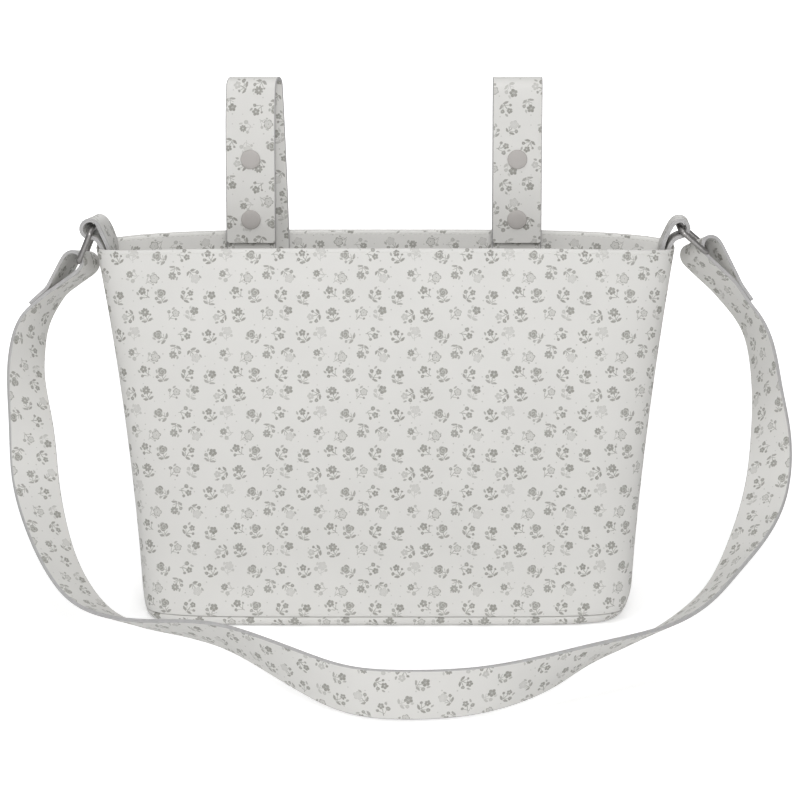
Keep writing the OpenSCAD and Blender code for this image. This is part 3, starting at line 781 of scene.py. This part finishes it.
# ---------------------------------------------------------------- press studs
# Lacquered caps on the flaps, pressed from sheet with a rolled edge, each with the tube that rivets it; nickel
# sockets, studs and posts behind them. The cap's profile rows are radius and how far out of the flap.
CAP = [(0.0, 1.42), (1.6, 1.41), (3.2, 1.37), (4.5, 1.3), (5.1, 1.22), (5.3, 1.12), (5.6, 1.2), (5.95, 1.1),
       (6.2, 0.8), (6.3, 0.45), (6.2, 0.15), (5.9, 0.0), (4.6, -0.03), (1.95, -0.03), (1.95, -2.6), (0.0, -2.6)]
FLAP_FACE = 15.1
turns = 56
for side, x, _ in PRAM:
    points, faces = [], []
    for z in (293.0, 253.5):
        first = len(points)
        for radius, out in CAP[1:-1]:
            for k in range(turns):
                a = 2 * math.pi * k / turns
                spot = (x + radius * math.cos(a), FLAP_FACE - out, z + radius * math.sin(a))
                points.append(Vector(spot) * MM)
        ring_count = len(CAP) - 2
        for i in range(ring_count - 1):
            for k in range(turns):
                m = (k + 1) % turns
                near, next_ = first + i * turns, first + (i + 1) * turns
                faces.append((near + k, next_ + k, next_ + m, near + m))
        for row, out, flip in ((0, CAP[0][1], False), (ring_count - 1, CAP[-1][1], True)):
            hub = len(points)
            points.append(Vector((x, FLAP_FACE - out, z)) * MM)
            for k in range(turns):
                m = (k + 1) % turns
                face = (first + row * turns + k, first + row * turns + m, hub)
                faces.append(face[::-1] if flip else face)
    caps = build("snap_caps_" + side + "_turned", points, faces, [cap_finish])
    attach(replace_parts(caps, "snap_caps_" + side), "flap_" + side)
    for part in ("sockets", "studs", "posts"):
        finish_node("snap_" + part + "_" + side, snap_nickel)
for part in ("magnet_stud", "magnet_socket"):
    finish_node(part, snap_nickel)

# ---------------------------------------------------------------- side tabs
# A short strap sewn down inside the rim at each side; it rolls out over the rim and its eye holds the ring.
# The shoulder strap's pull turns each tab and ring a little. Each row: side, its sign, the ring's droop, and
# the way from the near end of the eye to its far end.
EYE_X, EYE_Z, EYE_RADIUS = 188, 252, 5.3
SIDES = (("left", -1, 22.0, (0.165, 0.98, -0.10)), ("right", 1, 49.0, (0.03, 0.99, -0.10)))
for side, s, _, far in SIDES:
    path = [(-12.6, -34), (-12.5, -28), (-12.3, -22), (-11.8, -16), (-10.6, -10), (-8.4, -4.5), (-5.9, 0.8)]
    arc = [math.radians(a) for a in range(150, -101, -12)]
    path += [(EYE_RADIUS * math.cos(a), EYE_RADIUS * math.sin(a)) for a in arc]
    path += [(-3.2, -6.6), (-5.6, -9.4), (-7.4, -13), (-8.6, -17.5), (-9.2, -22), (-9.5, -28), (-9.6, -34)]
    turned = []
    for out, up in path:
        way = Vector((0, 1, 0)).lerp(Vector(far), min(1.0, max(0.0, (up + 26) / 20)))
        turned.append(((s * (EYE_X + out), 0, EYE_Z + up), way))
    tab = band("tab_" + side + "_band", turned, 29, 2.7, leather, step=1.2, wrap=0.3)
    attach(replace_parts(tab, "tab_" + side), "bag")

# ---------------------------------------------------------------- rings
# Rectangular rings bent from 3.6 mm round nickel-plated rod; they hang from the tabs' eyes.
RING_PITCH, ROD_RADIUS = 22.0, 1.8
round_ = 24
for side, s, droop, far in SIDES:
    corner, half, low = 3.6, 18.8, -RING_PITCH
    route = []
    out = half - corner
    for cy, cz, a0 in ((out, -corner, 0), (-out, -corner, 90), (-out, low + corner, 180), (out, low + corner, 270)):
        for k in range(9):
            a = math.radians(a0 + 90 * k / 8)
            route.append((cy + corner * math.cos(a), cz + corner * math.sin(a)))
    # the long bars and the short sides get rings of their own, so that the rod stays even
    full = []
    for k, (y, z) in enumerate(route):
        full.append((y, z))
        ny, nz = route[(k + 1) % len(route)]
        if math.hypot(ny - y, nz - z) > 3:
            full += [(y + (ny - y) * f / 6, z + (nz - z) * f / 6) for f in range(1, 6)]
    yaw = Vector((0, 1, 0)).rotation_difference(Vector((0.3 * far[0], 1, 0.6 * far[2]))).to_matrix()
    turn = yaw @ Matrix.Rotation(math.radians(-s * droop), 3, "Y")
    line = [turn @ Vector((0, y, z)) + Vector((s * EYE_X, 0, EYE_Z)) for y, z in full]
    across = turn @ Vector((1, 0, 0))
    points, faces = [], []
    for k, p in enumerate(line):
        ahead = (line[(k + 1) % len(line)] - line[k - 1]).normalized()
        n = ahead.cross(across)
        for i in range(round_):
            a = 2 * math.pi * i / round_
            points.append((p + ROD_RADIUS * (across * math.cos(a) + n * math.sin(a))) * MM)
    for k in range(len(line)):
        for i in range(round_):
            m, q = (i + 1) % round_, (k + 1) % len(line)
            faces.append((k * round_ + i, q * round_ + i, q * round_ + m, k * round_ + m)[::-1])
    ring = build("ring_" + side + "_rod", points, faces, [nickel])
    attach(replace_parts(ring, "ring_" + side), "ring_" + side)

# ---------------------------------------------------------------- shoulder strap
# One long strap: each end passes round the ring's outer bar and folds back along itself, its tail on the
# outside. From the rings it falls to the floor and runs round in front of the bag, twisting as it goes.
# Each row: the middle of the strap and the way its outer edge points.
ROUTE = [
    (-228, -4, 192, -5, -8, 2), (-232, -28, 166, -6, -8, 2), (-226, -54, 131, -8, -4, 3),
    (-223, -75, 104, -9, -3, 3), (-215, -96, 79, -8, -5, 3), (-203, -118, 57, -7, -7, 3),
    (-184, -140, 39, -6, -7, 3), (-158, -160, 35, -3, -9, 4), (-127, -178, 37, -1, -8, 5),
    (-97, -196, 37, -1, -7, 7), (-54, -225, 26, 0, -4, 9), (-25, -240, 18, 0, -2, 10),
    (6, -247, 17, 0, -1, 10), (54, -240, 17, 0, -2, 10), (96, -222, 22, 0, -5, 9),
    (126, -203, 29, 2, -7, 6), (153, -184, 32, 3, -8, 5), (173, -167, 35, 4, -8, 4),
    (193, -150, 43, 5, -7, 4), (209, -132, 54, 5, -7, 5), (224, -112, 70, 7, -6, 4),
    (238, -90, 93, 8, -5, 2), (244, -66, 120, 7, -6, 2), (243, -42, 150, 4, -9, 0),
    (241, -22, 175, 4, -9, 2), (234, -5, 195, 3, -9, 3),
]


def curve_through(rows, steps=6):
    """Smooth curve through rows of numbers."""
    out = []
    for i in range(len(rows) - 1):
        a, b, c, d = rows[max(i - 1, 0)], rows[i], rows[i + 1], rows[min(i + 2, len(rows) - 1)]
        for k in range(steps):
            u = k / steps
            mix = ((-u + 2 * u**2 - u**3) / 2, (2 - 5 * u**2 + 3 * u**3) / 2,
                   (u + 4 * u**2 - 3 * u**3) / 2, (u**3 - u**2) / 2)
            out.append([sum(share * value for share, value in zip(mix, four)) for four in zip(a, b, c, d)])
    return out + [list(rows[-1])]


def ring_frame(side, droop, lean, near):
    """The ring's outer bar, the way the folded end hangs from it and the way to its lower side."""
    fall = math.radians(droop)
    bar = Vector((side * (EYE_X + RING_PITCH * math.sin(fall)), 0, EYE_Z - RING_PITCH * math.cos(fall)))
    near = Vector(near).normalized()
    down = Vector((side * math.sin(math.radians(lean)), 0, -math.cos(math.radians(lean))))
    down = (down - near * near.dot(down)).normalized()
    return bar, near, down, near.cross(down) * -side


# For each end: side, ring's droop, lean of the folded end, way to the near end of the bar, how far the turn
# hangs off the bar and to its lower side, and where the main layer straightens. The two layers meet PINCH from
# the bar, the tail ends TAIL from it, and the turn has a radius of TURN_R.
ENDS = ((-1, 22.0, 40.0, (-0.27, -0.93, 0.22), 3.2, 1.2, (-221, -2, 200)),
        (1, 49.0, 31.5, (0.38, -0.85, 0.38), 0.0, 3.2, (225, -2.5, 201.5)))
PINCH, TAIL, TURN_R = 27.0, 44.0, 7.0
core = [(Vector(row[:3]), Vector(row[3:]).normalized()) for row in curve_through(ROUTE)]
for end in ENDS:
    bar, near, down, low = ring_frame(*end[:4])
    there, edge_there = core[0]
    begin, meet = bar + down * PINCH + low * (1.25 + 0.8 * end[5]), Vector(end[6])
    lead = []
    for k in range(16):
        f = k / 16
        lead.append((begin * (1 - f) ** 2 + meet * 2 * f * (1 - f) + there * f * f, near.lerp(edge_there, f)))
    core = (lead + core)[::-1]
core = core if core[0][0].x < 0 else core[::-1]

# even spacing, then smoothing that keeps both ends where they are
lengths = run_along([p for p, _ in core])
even, i = [], 0
stations = round(lengths[-1] / 2)
for k in range(stations + 1):
    s = lengths[-1] * k / stations
    while i < len(lengths) - 2 and lengths[i + 1] < s:
        i += 1
    f = min(1.0, (s - lengths[i]) / max(lengths[i + 1] - lengths[i], 1e-9))
    even.append((core[i][0].lerp(core[i + 1][0], f), core[i][1].lerp(core[i + 1][1], f)))
line, ways = [p for p, _ in even], [w for _, w in even]
for _ in range(70):
    line = line[:1] + eased(line[1:-1]) + line[-1:]
    ways = ways[:1] + eased(ways[1:-1]) + ways[-1:]
even = list(zip(line, ways))

path = even
for end in ENDS:
    bar, near, down, low = ring_frame(*end[:4])
    main = path if end[0] < 0 else path[::-1]
    # tail, one strap's thickness outside the main layer
    lie, run = [], 0.0
    for k in range(1, len(main) - 1):
        p, w = main[k]
        ahead = (main[k + 1][0] - main[k - 1][0]).normalized()
        w = (w - ahead * w.dot(ahead)).normalized()
        n = ahead.cross(w)
        if n.dot(low) > 0:
            n = -n
        lie.append((p + n * 2.5, w))
        run += (main[k + 1][0] - p).length
        if run > TAIL - PINCH:
            break
    # round the bar
    slack = end[4]
    touch = math.acos(TURN_R / (PINCH - slack))
    arc = []
    for k in range(25):
        a = touch + (2 * math.pi - 2 * touch) * k / 24
        out = (down * math.cos(a) - low * math.sin(a)) * TURN_R
        arc.append((bar + down * slack + low * end[5] + out, near))
    main = lie[::-1] + arc + main
    path = main if end[0] < 0 else main[::-1]
strap = band("shoulder_strap_band", path, STRAP_WIDTH, 2.4, leather, smooth=3, wrap=0.08)
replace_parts(strap, "shoulder_strap", "strap_loop_left", "strap_loop_right")
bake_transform(strap)
